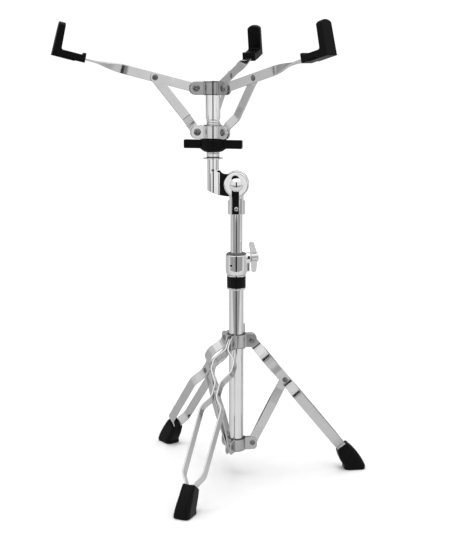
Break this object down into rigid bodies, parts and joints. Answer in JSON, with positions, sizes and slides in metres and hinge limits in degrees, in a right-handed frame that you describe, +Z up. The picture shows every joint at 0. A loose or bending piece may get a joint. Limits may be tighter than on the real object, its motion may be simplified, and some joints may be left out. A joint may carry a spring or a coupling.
{
  "type": "snare drum stand",
  "caption": "Folding snare drum stand: double-braced tripod, sliding column with wing-bolt clamp, ratchet tilter and a three-arm basket with rubber grips.",
  "frame": {"origin": "on the floor, on the axis of the lower and middle tubes", "axes": "+Z up the column; +X to the side the first leg points to, away from the offset basket post; +Y away from the player, from the tilter's bolt head to its wing nut"},
  "size_m": [0.3982, 0.3592, 0.5854],
  "materials": {
    "chrome_tube": "polished chrome plate",
    "chrome_fitting": "polished chrome plate on castings and pressings",
    "chrome_strip": "chrome plate on rolled flat bar",
    "zinc_fastener": "plated rivets and screws",
    "black_band": "blank semi-gloss sleeve",
    "black_casting": "satin black",
    "black_nylon": "moulded nylon",
    "black_plastic": "moulded, fine grain",
    "black_rubber": "moulded rubber, matt"
  },
  "bodies": {
    "column": {"lower_tube": "chrome_tube", "stay_bracket": "chrome_fitting", "stay_bracket_rivets": "zinc_fastener", "height_clamp": "chrome_fitting", "clamp_band": "black_band", "clamp_pin": "black_casting"},
    "clamp_bolt": {"clamp_wing_bolt": "chrome_fitting"},
    "bushing": {"clamp_bushing": "black_nylon"},
    "collar": {"leg_collar": "chrome_fitting", "leg_collar_rivets": "zinc_fastener"},
    "collar_screw": {"collar_wing_screw": "chrome_fitting"},
    "upper_column": {"middle_tube": "chrome_tube", "tilter_fork": "chrome_fitting", "tilter_set_screw": "zinc_fastener", "tilter_ratchet": "zinc_fastener", "tilter_bolt": "chrome_fitting"},
    "tilter_nut": {"tilter_wing_nut": "chrome_fitting"},
    "tilter": {"tilter_casting": "black_casting", "basket_post": "chrome_tube", "post_pin": "zinc_fastener", "post_washer": "chrome_fitting", "post_ring": "black_rubber"},
    "basket": {"basket_sleeve": "chrome_tube", "basket_hub": "chrome_fitting", "hub_tube": "chrome_tube", "hub_rivets": "zinc_fastener"},
    "slider": {"basket_slider": "chrome_fitting", "slider_rivets": "zinc_fastener"},
    "basket_wing_nut": {"basket_nut": "black_plastic"},
    "front_arm": {"front_arm": "chrome_strip", "front_arm_rivet": "zinc_fastener", "front_grip": "black_rubber"},
    "front_brace": {"front_brace": "chrome_strip"},
    "rear_arm": {"rear_arm": "chrome_strip", "rear_arm_rivet": "zinc_fastener", "rear_grip": "black_rubber"},
    "rear_brace": {"rear_brace": "chrome_strip"},
    "left_arm": {"left_arm": "chrome_strip", "left_arm_rivet": "zinc_fastener", "left_grip": "black_rubber"},
    "left_brace": {"left_brace": "chrome_strip"},
    "right_leg": {"right_leg_bar_near": "chrome_strip", "right_leg_bar_far": "chrome_strip", "right_knee_rivets": "zinc_fastener", "right_foot": "black_rubber"},
    "right_stay": {"right_stay_near": "chrome_strip", "right_stay_far": "chrome_strip"},
    "rear_leg": {"rear_leg_bar_near": "chrome_strip", "rear_leg_bar_far": "chrome_strip", "rear_knee_rivets": "zinc_fastener", "rear_foot": "black_rubber"},
    "rear_stay": {"rear_stay_near": "chrome_strip", "rear_stay_far": "chrome_strip"},
    "front_leg": {"front_leg_bar_near": "chrome_strip", "front_leg_bar_far": "chrome_strip", "front_knee_rivets": "zinc_fastener", "front_foot": "black_rubber"},
    "front_stay": {"front_stay_near": "chrome_strip", "front_stay_far": "chrome_strip"}
  },
  "joints": [
    {"name": "column_turn", "type": "hinge", "parent": "column", "child": "bushing", "pos_m": [0, 0, 0.294], "axis": [0, 0, 1], "continuous": true},
    {"name": "column_height", "type": "slide", "parent": "bushing", "child": "upper_column", "axis": [0, 0, 1], "range_m": [-0.046, 0.14]},
    {"name": "clamp_bolt_turn", "type": "hinge", "parent": "column", "child": "clamp_bolt", "pos_m": [0.014, 0, 0.29], "axis": [0.9962, 0, 0.0872], "range_deg": [-45, 270]},
    {"name": "basket_tilt", "type": "hinge", "parent": "upper_column", "child": "tilter", "pos_m": [0, 0, 0.3845], "axis": [0, 1, 0], "range_deg": [-25, 90]},
    {"name": "tilter_nut_turn", "type": "hinge", "parent": "upper_column", "child": "tilter_nut", "pos_m": [0, 0.018, 0.3845], "axis": [0, 1, 0], "range_deg": [-270, 45]},
    {"name": "basket_turn", "type": "hinge", "parent": "tilter", "child": "basket", "pos_m": [-0.0296, 0, 0.42], "axis": [0, 0, 1], "continuous": true},
    {"name": "basket_close", "type": "slide", "parent": "basket", "child": "slider", "axis": [0, 0, 1], "range_m": [0, 0.016]},
    {"name": "basket_nut_turn", "type": "hinge", "parent": "slider", "child": "basket_wing_nut", "pos_m": [-0.0296, 0, 0.433], "axis": [0, 0, 1], "range_deg": [0, 2880.5]},
    {"name": "tripod_fold", "type": "slide", "parent": "column", "child": "collar", "axis": [0, 0, 1], "range_m": [0, 0.02588]},
    {"name": "collar_screw_turn", "type": "hinge", "parent": "collar", "child": "collar_screw", "pos_m": [0.00813, 0.02044, 0.1806], "axis": [0.3697, 0.9291, 0], "range_deg": [-45, 270]},
    {"name": "front_arm_lift", "type": "hinge", "parent": "basket", "child": "front_arm", "pos_m": [-0.01422, -0.01587, 0.5046], "axis": [-0.7181, -0.6959, 0], "range_deg": [0, 32.49]},
    {"name": "front_brace_lift", "type": "hinge", "parent": "slider", "child": "front_brace", "pos_m": [-0.01512, -0.01494, 0.4501], "axis": [-0.7181, -0.6959, 0], "range_deg": [0, 11.97]},
    {"name": "rear_arm_lift", "type": "hinge", "parent": "basket", "child": "rear_arm", "pos_m": [-0.02355, 0.02125, 0.5046], "axis": [0.9617, -0.274, 0], "range_deg": [0, 32.49]},
    {"name": "rear_brace_lift", "type": "hinge", "parent": "slider", "child": "rear_brace", "pos_m": [-0.0239, 0.02, 0.4501], "axis": [0.9617, -0.274, 0], "range_deg": [0, 11.97]},
    {"name": "left_arm_lift", "type": "hinge", "parent": "basket", "child": "left_arm", "pos_m": [-0.05103, -0.00538, 0.5046], "axis": [-0.2436, 0.9699, 0], "range_deg": [0, 32.49]},
    {"name": "left_brace_lift", "type": "hinge", "parent": "slider", "child": "left_brace", "pos_m": [-0.04977, -0.00507, 0.4501], "axis": [-0.2436, 0.9699, 0], "range_deg": [0, 11.97]},
    {"name": "right_leg_swing", "type": "hinge", "parent": "collar", "child": "right_leg", "pos_m": [0.01959, 0.00286, 0.1806], "axis": [-0.1444, 0.9895, 0], "range_deg": [0, 37.05]},
    {"name": "right_stay_swing", "type": "hinge", "parent": "column", "child": "right_stay", "pos_m": [0.02108, 0.00308, 0.0418], "axis": [0.1444, -0.9895, 0], "range_deg": [0, 26.15]},
    {"name": "rear_leg_swing", "type": "hinge", "parent": "collar", "child": "rear_leg", "pos_m": [-0.01227, 0.01554, 0.1806], "axis": [-0.7848, -0.6198, 0], "range_deg": [0, 37.05]},
    {"name": "rear_stay_swing", "type": "hinge", "parent": "column", "child": "rear_stay", "pos_m": [-0.0132, 0.01672, 0.0418], "axis": [0.7848, 0.6198, 0], "range_deg": [0, 26.15]},
    {"name": "front_leg_swing", "type": "hinge", "parent": "collar", "child": "front_leg", "pos_m": [-0.00732, -0.0184, 0.1806], "axis": [0.9291, -0.3697, 0], "range_deg": [0, 37.05]},
    {"name": "front_stay_swing", "type": "hinge", "parent": "column", "child": "front_stay", "pos_m": [-0.00788, -0.01979, 0.0418], "axis": [-0.9291, 0.3697, 0], "range_deg": [0, 26.15]}
  ],
  "couplings": [
    {"joint": "basket_nut_turn", "follows": "basket_close", "rad_per_m": 3141.6},
    {"joint": "front_arm_lift", "follows": "basket_close", "rad_per_m": 35.383},
    {"joint": "front_brace_lift", "follows": "basket_close", "rad_per_m": 13},
    {"joint": "rear_arm_lift", "follows": "basket_close", "rad_per_m": 35.383},
    {"joint": "rear_brace_lift", "follows": "basket_close", "rad_per_m": 13},
    {"joint": "left_arm_lift", "follows": "basket_close", "rad_per_m": 35.383},
    {"joint": "left_brace_lift", "follows": "basket_close", "rad_per_m": 13},
    {"joint": "right_leg_swing", "follows": "tripod_fold", "rad_per_m": 24.949},
    {"joint": "right_stay_swing", "follows": "tripod_fold", "rad_per_m": 17.598},
    {"joint": "rear_leg_swing", "follows": "tripod_fold", "rad_per_m": 24.949},
    {"joint": "rear_stay_swing", "follows": "tripod_fold", "rad_per_m": 17.598},
    {"joint": "front_leg_swing", "follows": "tripod_fold", "rad_per_m": 24.949},
    {"joint": "front_stay_swing", "follows": "tripod_fold", "rad_per_m": 17.598}
  ]
}
